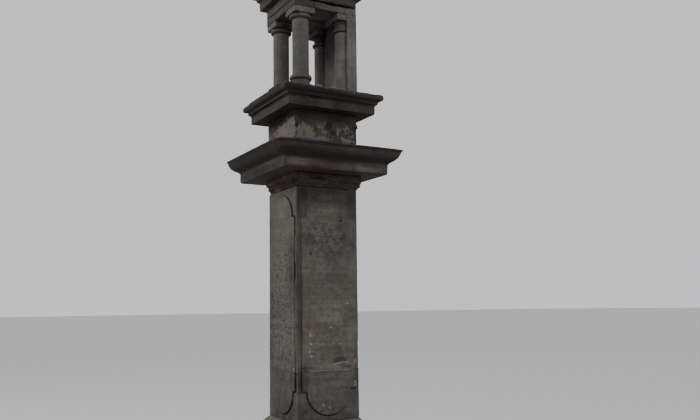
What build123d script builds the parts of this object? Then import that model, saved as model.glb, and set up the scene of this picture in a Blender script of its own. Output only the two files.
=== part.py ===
from build123d import *
import math
import os

# A square sandstone wayside column with an open lantern near its top.
# Millimetres, +Z up. The origin is the centre of the underside of the lowest step.
# -Y is the front, the side where the lantern is open between two free columns.

# Base, from the ground up
step_width = 1180
step_height = 170
plinth_width = 900
plinth_height = 290
plinth_chamfer = 30
base_width = 730
base_height = 160
base_wash_height = 61
base_ledge = 4

# Shaft, two blocks with a raised panel on each face
shaft_width = 600
shaft_foot_height = 430
shaft_main_height = 1600
panel_width = 522
panel_round_radius = 214
panel_foot_gap = 48
panel_head_gap = 52
panel_relief = 12

# Bed mould under the lower cornice
bed_height = 125
bed_cove_projection = 22
bed_cove_height = 26
bed_cove_radius = 29
bed_fillet_height = 22
bed_groove_depth = 6
bed_round_projection = 33

# Lower cornice
lower_fascia_projection = 209
lower_fascia_height = 84
lower_cove_depth = 26
lower_cove_radius = 52
lower_ovolo_depth = 64
lower_ovolo_radius = 110
lower_fillet_projection = 12
lower_fillet_height = 12
lower_crown_height = 134
lower_wash_height = 77

# Neck block between the cornices
neck_width = 612
neck_height = 266

# Upper cornice
upper_fascia_projection = 128
upper_fascia_height = 70
upper_bead_height = 18
upper_bead_projection = 7
upper_bead_slope = 5
upper_groove_depth = 4
upper_band_projection = 22
upper_band_height = 18
upper_cove_projection = 30
upper_cove_height = 14
upper_cove_radius = 26
upper_nose_setback = 6
upper_nose_radius = 37
upper_crown_height = 106
upper_wash_height = 38

# Lantern plan
lantern_width = 628
abacus_width = 200
abacus_edge_gap = 3
wall_thickness = 98

# Lantern columns
roll_slope_share = 0.33
drum_height = 67
drum_radius = 86
base_roll_height = 46
base_roll_radius = 100
column_radius = 75
column_shaft_height = 517
echinus_height = 40
echinus_neck_radius = 84
echinus_slope = 13
echinus_radius = 99
abacus_height = 57

# Half columns on the back wall
half_column_radius = 67
half_foot_radius = 72
low_roll_radius = 84
low_roll_height = 38
half_neck_height = 34
half_band_radius = 79
half_band_height = 26

# Entablature
architrave_height = 71
lintel_width = 200
back_lintel_width = 118
frieze_height = 92

# Top cornice and roof
top_fascia_projection = 53
top_fascia_height = 75
top_crown_height = 98
top_wash_height = 27
roof_eaves_inset = 64
roof_height = 330
roof_top_width = 130
roof_sag = 26

# Finial
finial_collar_height = 34
finial_neck_width = 74
finial_cove_radius = 41
ball_radius = 78
ball_flat_width = 60
cross_height = 330
cross_span = 220
cross_bar = 26
cross_thickness = 16
cross_arm_drop = 105
cross_tip_width = 46
cross_tip_length = 38
cross_foot_width = 40
cross_foot_depth = 20
cross_foot_height = 14

# Heights of the courses above the ground
base_z = step_height + plinth_height
shaft_z = base_z + base_height
joint_z = shaft_z + shaft_foot_height
bed_z = joint_z + shaft_main_height
lower_cornice_z = bed_z + bed_height
neck_z = lower_cornice_z + lower_fascia_height + lower_crown_height + lower_wash_height
upper_cornice_z = neck_z + neck_height
lantern_z = upper_cornice_z + upper_fascia_height + upper_crown_height + upper_wash_height
column_shaft_z = lantern_z + drum_height + base_roll_height
echinus_z = column_shaft_z + column_shaft_height
abacus_z = echinus_z + echinus_height
architrave_z = abacus_z + abacus_height
frieze_z = architrave_z + architrave_height
top_cornice_z = frieze_z + frieze_height
roof_z = top_cornice_z + top_fascia_height + top_crown_height + top_wash_height
finial_z = roof_z + roof_height
ball_foot_z = finial_z + finial_collar_height
ball_centre_z = ball_foot_z + math.sqrt(ball_radius**2 - (finial_neck_width / 2) ** 2)
cross_z = ball_centre_z + math.sqrt(ball_radius**2 - (ball_flat_width / 2) ** 2)

# Places in the lantern's plan
lantern_half = lantern_width / 2
column_offset = lantern_half - abacus_edge_gap - abacus_width / 2
wall_front_y = lantern_half - wall_thickness
back_lintel_y = lantern_half - back_lintel_width
front_lintel_y = lintel_width - lantern_half


def block(width, depth, height, x, y, z):
    """A plain dressed block, centred on x and y, standing on z."""
    return Pos(x, y, z) * Box(width, depth, height, align=(Align.CENTER, Align.CENTER, Align.MIN))


def outline(start, steps):
    """The edges of a half section: (x, z) draws a line and (x, z, radius) an arc.

    An arc with a positive radius bulges away from the axis, one with a negative radius is hollow.
    """
    edges = []
    here = start
    for step in steps:
        there = (step[0], step[1])
        if len(step) == 3:
            edges.append(RadiusArc(here, there, -step[2]))
        else:
            edges.append(Line(here, there))
        here = there
    return edges


def section(start, steps):
    """A closed half section on the XZ plane, from the axis out and back to it."""
    foot = (0, start[1])
    head = (0, steps[-1][1])
    last = (steps[-1][0], steps[-1][1])
    edges = [Line(foot, start)] + outline(start, steps) + [Line(last, head), Line(head, foot)]
    return Plane.XZ * make_face(Curve(edges))


def turned(start, steps, x, y):
    """A round member turned about the upright axis at x and y."""
    return Pos(x, y, 0) * revolve(section(start, steps), Axis.Z)


def mitred(start, steps):
    """A moulded course on a square plan: two straight runs meeting at mitres."""
    half = section(start, steps)
    whole = half + mirror(half, Plane.YZ)
    reach = max(step[0] for step in steps) + start[0]
    run = extrude(whole, reach, both=True)
    return run & (Rot(0, 0, 90) * run)


def base_course():
    half = base_width / 2
    ledge = shaft_width / 2 + base_ledge
    return mitred((half, base_z), [(half, shaft_z - base_wash_height), (ledge, shaft_z)])


def plinth():
    half = plinth_width / 2
    top = base_z
    return mitred(
        (half, step_height),
        [(half, top - plinth_chamfer), (half - plinth_chamfer, top)],
    )


def panel_outline():
    """The straight middle of a panel with a narrower round end above and below."""
    foot = shaft_z + panel_foot_gap
    head = bed_z - panel_head_gap
    low_centre = foot + panel_round_radius
    high_centre = head - panel_round_radius
    middle = Pos(0, (low_centre + high_centre) / 2) * Rectangle(panel_width, high_centre - low_centre)
    low_round = Pos(0, low_centre) * Circle(panel_round_radius)
    high_round = Pos(0, high_centre) * Circle(panel_round_radius)
    return middle + low_round + high_round


def shaft():
    """The whole shaft with its four panels, before it is parted at the joint."""
    height = bed_z - shaft_z
    body = block(shaft_width, shaft_width, height, 0, 0, shaft_z)
    panel = extrude(Plane.XZ.offset(shaft_width / 2) * panel_outline(), panel_relief)
    for quarter in range(4):
        body += Rot(0, 0, 90 * quarter) * panel
    return body


def bed_mould():
    """A cove and a fillet, a groove, and a quarter round under a plain band."""
    foot = shaft_width / 2
    fillet = foot + bed_cove_projection
    groove = fillet - bed_groove_depth
    band = foot + bed_round_projection
    cove_top = bed_z + bed_cove_height
    fillet_top = cove_top + bed_fillet_height
    groove_top = fillet_top + bed_groove_depth
    round_rise = band - groove
    return mitred(
        (foot, bed_z),
        [
            (fillet, cove_top, -bed_cove_radius),
            (fillet, fillet_top),
            (groove, groove_top),
            (band, groove_top + round_rise, round_rise),
            (band, lower_cornice_z),
        ],
    )


def lower_cornice():
    """A flat band, a cove and a quarter round under a thin lip, with a weathered slope on top."""
    face = shaft_width / 2 + lower_fascia_projection
    band_top = lower_cornice_z + lower_fascia_height
    cove_x = face + lower_cove_depth
    round_x = cove_x + lower_ovolo_depth
    lip_x = round_x + lower_fillet_projection
    lip_top = band_top + lower_crown_height
    lip_foot = lip_top - lower_fillet_height
    round_foot = band_top + lower_cove_depth
    return mitred(
        (face, lower_cornice_z),
        [
            (face, band_top),
            (cove_x, round_foot, -lower_cove_radius),
            (round_x, lip_foot - lower_fillet_projection, lower_ovolo_radius),
            (lip_x, lip_foot),
            (lip_x, lip_top),
            (neck_width / 2, neck_z),
        ],
    )


def crowned_cornice(face, foot_z, band_height, crown_height, seat_half, seat_z):
    """A flat band, a bead, a narrow fillet and a cove under a round nose, shared by two cornices."""
    band_top = foot_z + band_height
    bead_top = band_top + upper_bead_height
    bead_x = face + upper_bead_projection
    fillet_x = face + upper_band_projection
    fillet_top = bead_top + upper_band_height
    nose_x = fillet_x + upper_cove_projection
    nose_top = band_top + crown_height
    return mitred(
        (face, foot_z),
        [
            (face, band_top),
            (bead_x, band_top + upper_bead_slope),
            (bead_x, bead_top - upper_bead_slope),
            (bead_x - upper_groove_depth, bead_top),
            (fillet_x, bead_top),
            (fillet_x, fillet_top),
            (nose_x, fillet_top + upper_cove_height, -upper_cove_radius),
            (nose_x - upper_nose_setback, nose_top, upper_nose_radius),
            (seat_half, seat_z),
        ],
    )


def upper_cornice():
    face = shaft_width / 2 + upper_fascia_projection
    return crowned_cornice(
        face, upper_cornice_z, upper_fascia_height, upper_crown_height, lantern_half, lantern_z
    )


def top_cornice():
    face = lantern_half + top_fascia_projection
    return crowned_cornice(
        face, top_cornice_z, top_fascia_height, top_crown_height, roof_half(), roof_z
    )


def roof_half():
    """Half the width of the roof's foot, set in from the top cornice's nose."""
    nose = lantern_half + top_fascia_projection + upper_band_projection + upper_cove_projection
    return nose - roof_eaves_inset


def roof_cap():
    """A low four-sided stone roof whose faces sag a little between eaves and top."""
    foot = roof_half()
    top = roof_top_width / 2
    run = foot - top
    chord = math.hypot(run, roof_height)
    radius = chord**2 / (8 * roof_sag) + roof_sag / 2
    return mitred((foot, roof_z), [(top, finial_z, -radius)])


def roll(foot_z, height, neck, belly):
    """The outline of a small round moulding, cut as three flats."""
    slope = min(height * roll_slope_share, belly - neck)
    return [
        (neck, foot_z),
        (belly, foot_z + slope),
        (belly, foot_z + height - slope),
        (neck, foot_z + height),
    ]


def column_base(x, y):
    drum_top = lantern_z + drum_height
    ring = roll(drum_top, base_roll_height, drum_radius, base_roll_radius)
    return turned((drum_radius, lantern_z), ring, x, y)


def column_shaft(x, y):
    return Pos(x, y, column_shaft_z) * Cylinder(
        column_radius, column_shaft_height, align=(Align.CENTER, Align.CENTER, Align.MIN)
    )


def column_capital(x, y):
    """The cushion under the abacus of a free column, sloped on its underside."""
    cushion = [(echinus_radius, echinus_z + echinus_slope), (echinus_radius, abacus_z)]
    return turned((echinus_neck_radius, echinus_z), cushion, x, y)


def abacus(x, y):
    return block(abacus_width, abacus_width, abacus_height, x, y, abacus_z)


def behind_wall_face():
    """The space behind the back wall's front face, cut from the half columns."""
    depth = 2 * abacus_width
    return block(
        2 * lantern_width, depth, frieze_z - lantern_z, 0, wall_front_y + depth / 2, lantern_z
    )


def half_round(radius, foot_z, head_z, x):
    """A plain upright half cylinder standing against the wall's front face."""
    whole = turned((radius, foot_z), [(radius, head_z)], x, wall_front_y)
    return whole - behind_wall_face()


def half_base(x):
    return half_round(half_foot_radius, lantern_z, column_shaft_z, x)


def half_capital_z():
    """The foot of the roll, the neck and the band under the abacus of a half column."""
    return abacus_z - half_band_height - half_neck_height - low_roll_height


def half_shaft(x):
    return half_round(half_column_radius, column_shaft_z, half_capital_z(), x)


def half_capital(x):
    """A roll, a plain neck and a flat band under the abacus of a half column."""
    radius = half_column_radius
    band_foot = abacus_z - half_band_height
    low = roll(half_capital_z(), low_roll_height, radius, low_roll_radius)
    band = [(radius, band_foot), (half_band_radius, band_foot), (half_band_radius, abacus_z)]
    return turned(low[0], low[1:] + band, x, wall_front_y) - behind_wall_face()


def half_abacus(x):
    depth = abacus_width / 2
    return block(abacus_width, depth, abacus_height, x, wall_front_y - depth / 2, abacus_z)


def back_wall():
    y = lantern_half - wall_thickness / 2
    return block(lantern_width, wall_thickness, architrave_z - lantern_z, 0, y, lantern_z)


def lintel(x, front, back, width):
    """A straight architrave stone between two depths in the plan."""
    return block(width, back - front, architrave_height, x, (front + back) / 2, architrave_z)


def frieze_block():
    return block(lantern_width, lantern_width, frieze_height, 0, 0, frieze_z)


def ball_finial():
    """A hollow-sided neck under an eight-sided ball with a small flat on top."""
    collar = roof_top_width / 2
    neck = finial_neck_width / 2
    foot = mitred((collar, finial_z), [(neck, ball_foot_z, -finial_cove_radius)])
    lobes = mitred(
        (neck, ball_foot_z),
        [(ball_radius, ball_centre_z, ball_radius), (ball_flat_width / 2, cross_z, ball_radius)],
    )
    return foot + (lobes & (Rot(0, 0, 45) * lobes))


def flared_arm(length):
    """A flat bar from the crossing to a widened end, drawn upwards."""
    half = cross_bar / 2
    tip = cross_tip_width / 2
    neck = length - cross_tip_length
    right = [(half, 0), (half, neck), (tip, length)]
    left = [(-x, y) for x, y in reversed(right)]
    return make_face(Polyline(*right, *left, close=True))


def cross():
    """A plain wrought cross with widened ends on a small foot plate."""
    arm_z = cross_height - cross_arm_drop
    face = Pos(0, arm_z / 2) * Rectangle(cross_bar, arm_z)
    face += Pos(0, arm_z) * flared_arm(cross_arm_drop)
    for turn in (-90, 90):
        face += Pos(0, arm_z) * Rot(0, 0, turn) * flared_arm(cross_span / 2)
    stood = Plane.XZ.offset(-cross_thickness / 2) * face
    plate = block(cross_foot_width, cross_foot_depth, cross_foot_height, 0, 0, 0)
    return Pos(0, 0, cross_z) * (extrude(stood, cross_thickness) + plate)


def shaft_blocks():
    whole = shaft()
    reach = 2 * shaft_width
    below = block(reach, reach, shaft_foot_height, 0, 0, shaft_z)
    above = block(reach, reach, shaft_main_height, 0, 0, joint_z)
    return whole & below, whole & above


def lantern_pieces():
    """The columns with their bases, capitals and abaci, and the wall behind them."""
    pieces = {}
    for side, x in (("left", -column_offset), ("right", column_offset)):
        pieces[f"front_{side}_column_base"] = column_base(x, -column_offset)
        pieces[f"front_{side}_column_shaft"] = column_shaft(x, -column_offset)
        pieces[f"front_{side}_column_capital"] = column_capital(x, -column_offset)
        pieces[f"front_{side}_abacus"] = abacus(x, -column_offset)
        pieces[f"back_{side}_half_column_base"] = half_base(x)
        pieces[f"back_{side}_half_column_shaft"] = half_shaft(x)
        pieces[f"back_{side}_half_column_capital"] = half_capital(x)
        pieces[f"back_{side}_half_abacus"] = half_abacus(x)
    pieces["lantern_back_wall"] = back_wall()
    return pieces


def architrave_pieces():
    side_x = lantern_half - lintel_width / 2
    return {
        "front_lintel": lintel(0, -lantern_half, front_lintel_y, lantern_width),
        "left_lintel": lintel(-side_x, front_lintel_y, back_lintel_y, lintel_width),
        "right_lintel": lintel(side_x, front_lintel_y, back_lintel_y, lintel_width),
        "back_lintel": lintel(0, back_lintel_y, lantern_half, lantern_width),
    }


def all_pieces():
    foot_block, main_block = shaft_blocks()
    pieces = {
        "ground_step": block(step_width, step_width, step_height, 0, 0, 0),
        "plinth": plinth(),
        "base_course": base_course(),
        "shaft_foot_block": foot_block,
        "shaft_main_block": main_block,
        "bed_mould": bed_mould(),
        "lower_cornice": lower_cornice(),
        "neck_block": block(neck_width, neck_width, neck_height, 0, 0, neck_z),
        "upper_cornice": upper_cornice(),
    }
    pieces.update(lantern_pieces())
    pieces.update(architrave_pieces())
    pieces["frieze_block"] = frieze_block()
    pieces["top_cornice"] = top_cornice()
    pieces["roof_cap"] = roof_cap()
    pieces["ball_finial"] = ball_finial()
    pieces["cross"] = cross()
    return pieces


os.makedirs("parts", exist_ok=True)
for name, piece in all_pieces().items():
    export_step(piece, f"parts/{name}.step")
    print(name, round(piece.volume / 1e6, 2), "litres")
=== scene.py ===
import math

import bmesh
import bpy
from mathutils import Matrix, Vector, noise


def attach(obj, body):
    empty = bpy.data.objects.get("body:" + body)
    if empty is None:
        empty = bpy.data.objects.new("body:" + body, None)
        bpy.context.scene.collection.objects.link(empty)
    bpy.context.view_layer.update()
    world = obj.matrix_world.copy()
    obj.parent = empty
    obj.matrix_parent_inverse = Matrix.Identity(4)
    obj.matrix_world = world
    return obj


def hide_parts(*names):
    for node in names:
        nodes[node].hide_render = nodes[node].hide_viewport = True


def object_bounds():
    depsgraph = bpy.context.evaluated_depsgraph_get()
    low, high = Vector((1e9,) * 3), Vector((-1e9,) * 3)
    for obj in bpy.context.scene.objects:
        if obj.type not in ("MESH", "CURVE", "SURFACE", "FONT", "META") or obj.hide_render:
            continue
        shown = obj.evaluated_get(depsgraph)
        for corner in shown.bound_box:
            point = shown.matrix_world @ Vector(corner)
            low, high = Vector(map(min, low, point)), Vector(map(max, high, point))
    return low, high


# Weathered sandstone plague column: worn stones, mortar, iron and their finishes.
# Metres throughout. -Y is the open side of the lantern, at the left of the main view, and +X the right side.

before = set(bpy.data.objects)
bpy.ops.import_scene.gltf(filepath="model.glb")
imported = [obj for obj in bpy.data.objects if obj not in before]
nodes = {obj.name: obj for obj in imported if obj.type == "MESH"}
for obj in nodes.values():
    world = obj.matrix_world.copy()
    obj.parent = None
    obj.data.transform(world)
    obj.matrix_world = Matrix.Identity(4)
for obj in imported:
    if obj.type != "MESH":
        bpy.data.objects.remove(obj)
cadLow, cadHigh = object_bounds()
print("frame loaded:", len(nodes), "nodes")


# Small shading helpers

def plug(tree, node, inputs):
    for key, value in inputs.items():
        socket = node.inputs[key]
        if isinstance(value, bpy.types.NodeSocket):
            tree.links.new(value, socket)
        else:
            socket.default_value = (*value, 1.0) if socket.type == "RGBA" else value


def addNode(tree, kind, inputs=None, **settings):
    node = tree.nodes.new(kind)
    for key, value in settings.items():
        setattr(node, key, value)
    plug(tree, node, inputs or {})
    return node


def calc(tree, operation, first, second=0.0, third=0.0):
    return addNode(tree, "ShaderNodeMath", {0: first, 1: second, 2: third}, operation=operation).outputs[0]


def times(tree, first, second):
    return calc(tree, "MULTIPLY", first, second)


def timesAdd(tree, first, second, added):
    return calc(tree, "MULTIPLY_ADD", first, second, added)


def swayed(tree, base, pattern, amount=1.0):
    # the base value, raised and lowered by a pattern that has its middle at 0.5
    return timesAdd(tree, calc(tree, "SUBTRACT", pattern, 0.5), amount, base)


def between(tree, value, low, high, start=0.0, end=1.0):
    inputs = {"Value": value, "From Min": low, "From Max": high, "To Min": start, "To Max": end}
    return addNode(tree, "ShaderNodeMapRange", inputs, interpolation_type="SMOOTHSTEP").outputs["Result"]


def blend(tree, factor, first, second, mode="MIX"):
    inputs = {0: factor, 6: first, 7: second}
    return addNode(tree, "ShaderNodeMix", inputs, data_type="RGBA", blend_type=mode).outputs[2]


def cover(tree, colour, mask, strength, coat):
    return blend(tree, times(tree, mask, strength), colour, coat)


def shaded(tree, colour, shade):
    tone = addNode(tree, "ShaderNodeCombineColor", {0: shade, 1: shade, 2: shade}).outputs[0]
    return blend(tree, 1.0, colour, tone, "MULTIPLY")


def stretched(tree, vector, scale):
    return addNode(tree, "ShaderNodeMapping", {"Vector": vector, "Scale": scale}).outputs["Vector"]


def clouds(tree, vector, scale, detail=4.0, rough=0.55):
    inputs = {"Vector": vector, "Scale": scale, "Detail": detail, "Roughness": rough}
    return addNode(tree, "ShaderNodeTexNoise", inputs).outputs["Fac"]


def cells(tree, vector, scale, randomness=1.0):
    inputs = {"Vector": vector, "Scale": scale, "Randomness": randomness}
    return addNode(tree, "ShaderNodeTexVoronoi", inputs).outputs["Distance"]


def newGroup(name, inputs, outputs):
    # the sockets are listed by their kind
    group = bpy.data.node_groups.new(name, "ShaderNodeTree")
    for side, sockets in (("INPUT", inputs), ("OUTPUT", outputs)):
        for kind, labels in sockets.items():
            for label in labels:
                group.interface.new_socket(name=label, in_out=side, socket_type="NodeSocket" + kind)
    return group, group.nodes.new("NodeGroupInput").outputs, group.nodes.new("NodeGroupOutput")


def newMaterial(name):
    material = bpy.data.materials.new(name)
    material.use_nodes = True
    return material, material.node_tree, material.node_tree.nodes["Principled BSDF"]


# Coats laid over the stone: film and lichen from weather, soot and dirt that also paint shade, and a coat of
# painted shade for undersides
coats = {
    "film": (0.08, 0.083, 0.066),
    # painted shade for undersides
    "under": (0.031, 0.02, 0.0155),
    # soot, also used as painted shade
    "soot": (0.015, 0.0125, 0.0115),
    # dirt, also used as painted shade in hollows and pits
    "dirtAndShade": (0.012, 0.01, 0.0085),
    "lichen": (0.21, 0.21, 0.19),
}
# Scales of the patterns: the higher, the finer
bodyScales = {
    "drift": 2.6, "bands": 4.0, "warmth": 4.1, "sparse": 7.0, "mottle": 22.0, "holes": 42.0, "pits": 62.0,
    "streaks": 70.0, "grain": 240.0,
}
weatherScales = {
    "discSize": 5.0, "patch": 11.0, "flakes": 13.0, "discs": 26.0, "scratch": 34.0, "fine": 60.0,
}


# The body of the stone: slow drifts of tone, beds, coarse grain, pits and holes
def makeStoneBody():
    group, given, result = newGroup(
        "stoneBody",
        {"Vector": ["Vector"], "Color": ["Pale", "Deep", "Warm"], "Float": ["Bedding", "Pitting", "Rugged"]},
        {"Color": ["Colour"], "Float": ["Height"]},
    )
    spot = given["Vector"]
    scales = bodyScales
    drift = between(group, clouds(group, spot, scales["drift"], 5.0, 0.6), 0.36, 0.64)
    warmth = between(group, clouds(group, spot, scales["warmth"], 3.0, 0.6), 0.5, 0.72)
    mottle = clouds(group, spot, scales["mottle"], 5.0, 0.65)
    bands = clouds(group, stretched(group, spot, (0.35, 0.35, 9.0)), scales["bands"], 4.0, 0.6)
    streaks = clouds(group, stretched(group, spot, (0.28, 0.28, 1.0)), scales["streaks"], 4.0, 0.7)
    grain = clouds(group, spot, scales["grain"], 2.0, 0.7)
    colour = blend(group, drift, given["Deep"], given["Pale"])
    colour = cover(group, colour, warmth, 0.6, given["Warm"])
    strata = between(group, bands, 0.35, 0.65, -0.22, 0.22)
    shade = between(group, mottle, 0.3, 0.7, 0.85, 1.15)
    shade = timesAdd(group, strata, given["Bedding"], shade)
    shade = times(group, shade, between(group, grain, 0.3, 0.7, 0.84, 1.16))
    uneven = swayed(group, calc(group, "SUBTRACT", streaks, 0.5), mottle, 0.5)
    shade = timesAdd(group, times(group, uneven, given["Rugged"]), 4.0, shade)
    colour = shaded(group, colour, shade)
    sparse = between(group, clouds(group, spot, scales["sparse"], 2.0), 0.5, 0.66)
    sparse = calc(group, "MAXIMUM", sparse, given["Rugged"])
    pit = times(group, between(group, cells(group, spot, scales["pits"]), 0.36, 0.1), sparse)
    pit = times(group, pit, given["Pitting"])
    rows = stretched(group, spot, (0.8, 0.8, 1.5))
    hole = timesAdd(group, streaks, 0.6, cells(group, rows, scales["holes"], 0.9))
    hole = times(group, between(group, hole, 0.52, 0.4), given["Rugged"])
    pit = calc(group, "MAXIMUM", pit, hole)
    colour = cover(group, colour, pit, 0.65, blend(group, 0.75, given["Deep"], coats["dirtAndShade"]))
    height = timesAdd(group, mottle, 0.55, times(group, grain, 0.28))
    height = timesAdd(group, strata, given["Bedding"], height)
    height = timesAdd(group, pit, -0.7, height)
    plug(group, result, {"Colour": colour, "Height": height})
    return group


# Half width of a shaft panel, radius of its round ends, heights of their centres, how far the plain face
# stands from the axis, and the groove carved round the panel
panel = {
    "half": 0.261, "round": 0.214, "foot": 0.882, "head": 2.384, "face": 0.3, "lineWidth": 0.012,
    "margin": 0.004, "waver": 0.006, "grooveMiddle": 0.004, "grooveReach": 0.008, "grooveDepth": 0.004,
}


# A carved line follows the panel's outline: 1 in the groove, 0 elsewhere; it lays painted shade along the
# groove
def makePanelLine():
    group, given, result = newGroup("panelLine", {"Vector": ["Vector"]}, {"Float": ["Line"]})
    place = addNode(group, "ShaderNodeSeparateXYZ", {0: given["Vector"]}).outputs
    across = calc(group, "MINIMUM", *[calc(group, "ABSOLUTE", place[axis]) for axis in "XY"])
    below = calc(group, "SUBTRACT", panel["foot"], place["Z"])
    above = calc(group, "SUBTRACT", place["Z"], panel["head"])
    middle = calc(group, "SUBTRACT", across, panel["half"])
    outside = calc(group, "MAXIMUM", middle, calc(group, "MAXIMUM", below, above))
    for rise in (below, above):
        flat = addNode(group, "ShaderNodeCombineXYZ", {0: across, 1: rise}).outputs[0]
        reach = addNode(group, "ShaderNodeVectorMath", {0: flat}, operation="LENGTH").outputs["Value"]
        outside = calc(group, "MINIMUM", outside, calc(group, "SUBTRACT", reach, panel["round"]))
    outside = swayed(group, outside, clouds(group, given["Vector"], 30.0, 3.0), panel["waver"])
    inner = between(group, outside, -0.002, 0.001)
    outer = between(group, outside, panel["lineWidth"], panel["lineWidth"] - 0.004)
    plug(group, result, {"Line": times(group, inner, outer)})
    return group


def beyondPanel(place):
    # how far a point of the shaft's skin lies outside the panel's outline
    across = min(abs(place.x), abs(place.y))
    below = panel["foot"] - place.z
    above = place.z - panel["head"]
    rounds = min(math.hypot(across, below), math.hypot(across, above)) - panel["round"]
    return min(max(across - panel["half"], below, above), rounds)


# What weather leaves on the stone, with painted shade and light: soot and painted shade under ledges,
# painted shade on undersides and in hollow corners, a painted highlight on proud arrises, green film, pale
# crust and lichen
def makeWeatherAndShade():
    group, given, result = newGroup(
        "weatherAndShade",
        {
            "Vector": ["Vector"], "Color": ["Colour", "Fresh", "Lime"],
            "Float": ["Height", "Crevice", "Worn", "Pale", "Soot", "Sheltered", "Film", "Lichen"],
        },
        {"Color": ["Colour"], "Float": ["Roughness", "Height"]},
    )
    spot = given["Vector"]
    scales = weatherScales
    normal = addNode(group, "ShaderNodeNewGeometry").outputs["Normal"]
    facing = addNode(group, "ShaderNodeSeparateXYZ", {0: normal}).outputs
    patch = clouds(group, spot, scales["patch"], 5.0, 0.7)
    fine = clouds(group, spot, scales["fine"], 4.0, 0.7)
    ragged = timesAdd(group, fine, 0.35, times(group, patch, 0.65))
    # broken stone shows its warmer inside
    broken = between(group, swayed(group, given["Worn"], ragged), 0.35, 0.75)
    colour = cover(group, given["Colour"], broken, 0.75, given["Fresh"])
    # green-grey film where rain and shade meet: the front side and low or sloping faces
    lean = between(group, facing["Y"], -0.2, -0.9)
    wet = calc(group, "MAXIMUM", lean, between(group, facing["Z"], 0.15, 0.7))
    film = times(group, times(group, wet, given["Film"]), between(group, patch, 0.35, 0.62))
    colour = blend(group, film, colour, coats["film"])
    # painted shade: undersides are darkened to a dark brown, broken up by the patches and left off inside
    # the lantern
    under = between(group, facing["Z"], -0.05, -0.8)
    under = times(group, under, between(group, ragged, 0.25, 0.6, 0.6, 1.0))
    under = times(group, under, calc(group, "SUBTRACT", 1.0, given["Sheltered"]))
    colour = blend(group, under, colour, coats["under"])
    # soot and painted shade where the stone's own setting says so, broken up by the patches
    soot = between(group, swayed(group, given["Soot"], ragged, 1.3), 0.2, 0.85)
    soot = times(group, times(group, soot, 0.85), between(group, given["Soot"], 0.0, 0.15))
    colour = blend(group, soot, colour, coats["soot"])
    # dirt and painted shade settle in hollow corners, and proud arrises are rubbed pale and carry a painted
    # highlight
    dirtAndShade = between(group, swayed(group, given["Crevice"], patch, 0.6), 0.12, 0.5)
    colour = cover(group, colour, dirtAndShade, 0.8, coats["dirtAndShade"])
    rubbedAndHighlit = between(group, swayed(group, given["Crevice"], fine, 0.4), -0.15, -0.5)
    colour = cover(group, colour, rubbedAndHighlit, 0.28, given["Lime"])
    # lime and pale crust
    scratch = clouds(group, spot, scales["scratch"], 6.0, 0.8)
    crust = swayed(group, swayed(group, given["Pale"], ragged, 2.6), scratch, 3.2)
    crust = times(group, between(group, crust, 0.42, 0.62), between(group, given["Pale"], 0.0, 0.2))
    colour = cover(group, colour, crust, 0.9, given["Lime"])
    # odd pale flecks where the skin has flaked
    fleck = timesAdd(group, fine, 0.22, cells(group, spot, scales["flakes"]))
    fleck = times(group, between(group, fleck, 0.24, 0.19), between(group, patch, 0.5, 0.6))
    fleck = times(group, fleck, times(group, given["Lichen"], 1.6))
    colour = cover(group, colour, fleck, 0.75, given["Lime"])
    # small round lichens
    size = between(group, clouds(group, spot, scales["discSize"], 3.0), 0.52, 0.72, 0.0, 0.42)
    disc = timesAdd(group, fine, 0.12, cells(group, spot, scales["discs"]))
    disc = times(group, times(group, calc(group, "LESS_THAN", disc, size), given["Lichen"]), 0.8)
    colour = blend(group, disc, colour, coats["lichen"])
    dull = timesAdd(group, ragged, 0.16, 0.8)
    dull = calc(group, "SUBTRACT", dull, times(group, film, 0.1))
    height = timesAdd(group, crust, 0.3, given["Height"])
    height = timesAdd(group, disc, 0.12, height)
    height = timesAdd(group, times(group, broken, fine), 0.5, height)
    plug(group, result, {"Colour": colour, "Roughness": dull, "Height": height})
    return group


stoneBody = makeStoneBody()
weatherAndShade = makeWeatherAndShade()
panelLine = makePanelLine()

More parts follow.
